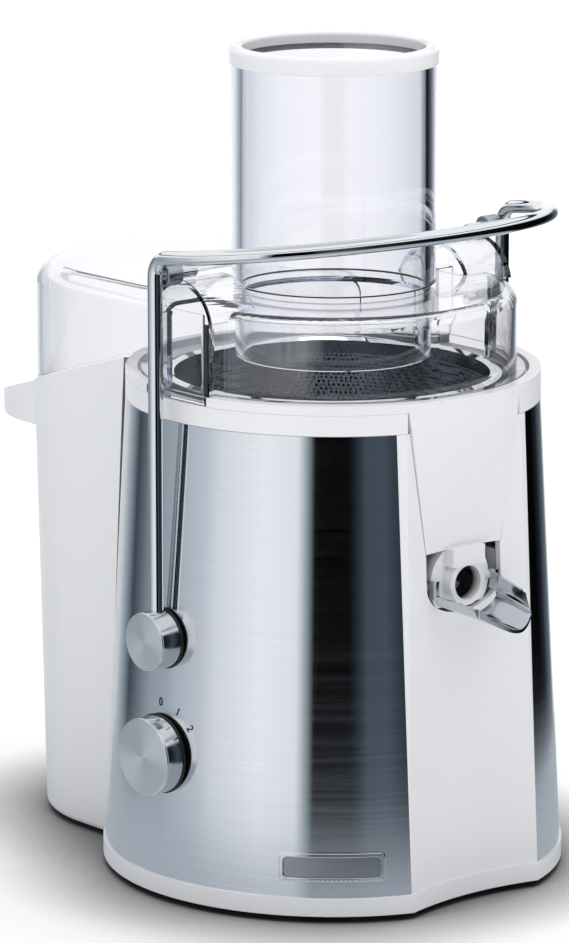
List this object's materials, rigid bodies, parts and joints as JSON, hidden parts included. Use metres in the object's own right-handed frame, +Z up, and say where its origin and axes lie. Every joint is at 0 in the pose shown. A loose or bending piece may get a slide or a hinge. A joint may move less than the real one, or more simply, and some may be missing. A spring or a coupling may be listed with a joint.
{
  "type": "centrifugal juicer",
  "caption": "Centrifugal juicer: tapered steel-clad motor body, clear lid with wide feed tube, bail clamp arm, tilting spout trough, speed dial and rear pulp bin.",
  "frame": {"origin": "on the motor axis, at the level the rubber feet stand on", "axes": "+Z up along the motor axis and feed tube; +X towards the spout, -X towards the pulp bin; -Y towards the user, with the speed dial"},
  "size_m": [0.337, 0.2232, 0.368],
  "materials": {
    "white_abs": "glossy moulded ABS",
    "brushed_steel": "circumferentially brushed stainless sheet",
    "chrome": "polished chrome plate",
    "clear_polycarbonate": "clear moulded polycarbonate",
    "spun_aluminium": "spun face, fine concentric lines",
    "black_plastic": "moulded",
    "pale_nylon": "moulded nylon",
    "rubber": "matte rubber",
    "sieve_steel": "etched stainless sieve",
    "motor_steel": "laminated and turned steel",
    "copper": "enamelled copper wire and bars",
    "zinc_steel": "zinc-plated",
    "carbon": "pressed carbon",
    "board_green": "coated circuit board"
  },
  "bodies": {
    "housing": {"badge_frame": "chrome", "badge_plate": "brushed_steel", "base_tray": "white_abs", "brush_holders": "black_plastic", "carbon_brushes": "carbon", "control_board": "board_green", "cord_gland": "black_plastic", "field_coils": "copper", "front_panel": "white_abs", "juice_collector": "white_abs", "lower_bearing": "motor_steel", "lower_bracket": "zinc_steel", "motor_housing": "white_abs", "motor_stator": "motor_steel", "mount_screws": "zinc_steel", "pivot_bushes": "pale_nylon", "rim_collar": "white_abs", "rotary_switch": "black_plastic", "rubber_feet": "rubber", "rubber_mounts": "rubber", "safety_switch": "black_plastic", "shaft_seal": "rubber", "steel_wrap": "brushed_steel", "terminal_block": "pale_nylon", "through_bolts": "zinc_steel", "tray_screws": "zinc_steel", "upper_bearing": "motor_steel", "upper_bracket": "zinc_steel"},
    "rotor": {"motor_shaft": "motor_steel", "armature_core": "motor_steel", "armature_windings": "copper", "commutator": "copper", "cooling_fan": "black_plastic", "drive_coupling": "black_plastic", "basket_base": "white_abs", "filter_basket": "sieve_steel", "basket_rim": "pale_nylon", "grating_disc": "sieve_steel", "disc_nut": "pale_nylon"},
    "clamp_arm": {"arm_wire": "chrome", "pivot_knob_near": "chrome", "pivot_knob_far": "chrome", "pivot_washers": "black_plastic", "pivot_shafts": "zinc_steel", "pivot_clips": "zinc_steel", "interlock_cam": "black_plastic", "latch_pins": "chrome", "latch_sleeves": "pale_nylon"},
    "lid": {"lid_shell": "clear_polycarbonate", "feed_tube": "clear_polycarbonate", "tube_ring": "white_abs"},
    "pulp_bin": {"pulp_bin": "white_abs"},
    "speed_dial": {"dial_knob": "chrome", "dial_skirt": "black_plastic", "dial_face": "spun_aluminium", "dial_stem": "pale_nylon"},
    "trough": {"spout_trough": "chrome"}
  },
  "joints": [
    {"name": "basket_spin", "type": "hinge", "parent": "housing", "child": "rotor", "pos_m": [0, 0, 0.1], "axis": [0, 0, 1], "continuous": true},
    {"name": "arm_swing", "type": "hinge", "parent": "housing", "child": "clamp_arm", "pos_m": [0, 0, 0.119], "axis": [0, 1, 0], "range_deg": [0, 90]},
    {"name": "lid_lift", "type": "slide", "parent": "housing", "child": "lid", "axis": [0, 0, 1], "range_m": [0, 0.0394]},
    {"name": "bin_slide", "type": "slide", "parent": "housing", "child": "pulp_bin", "axis": [-1, 0, 0], "range_m": [0, 0.118]},
    {"name": "dial_turn", "type": "hinge", "parent": "housing", "child": "speed_dial", "pos_m": [0, -0.11, 0.068], "axis": [0, 1, 0], "range_deg": [0, 60]},
    {"name": "trough_tilt", "type": "hinge", "parent": "housing", "child": "trough", "pos_m": [0.083, 0, 0.143], "axis": [0, -1, 0], "range_deg": [0, 40]}
  ],
  "couplings": [
    {"joint": "lid_lift", "follows": "arm_swing", "m_per_rad": 0.025},
    {"joint": "bin_slide", "follows": "arm_swing", "m_per_rad": 0.075}
  ]
}
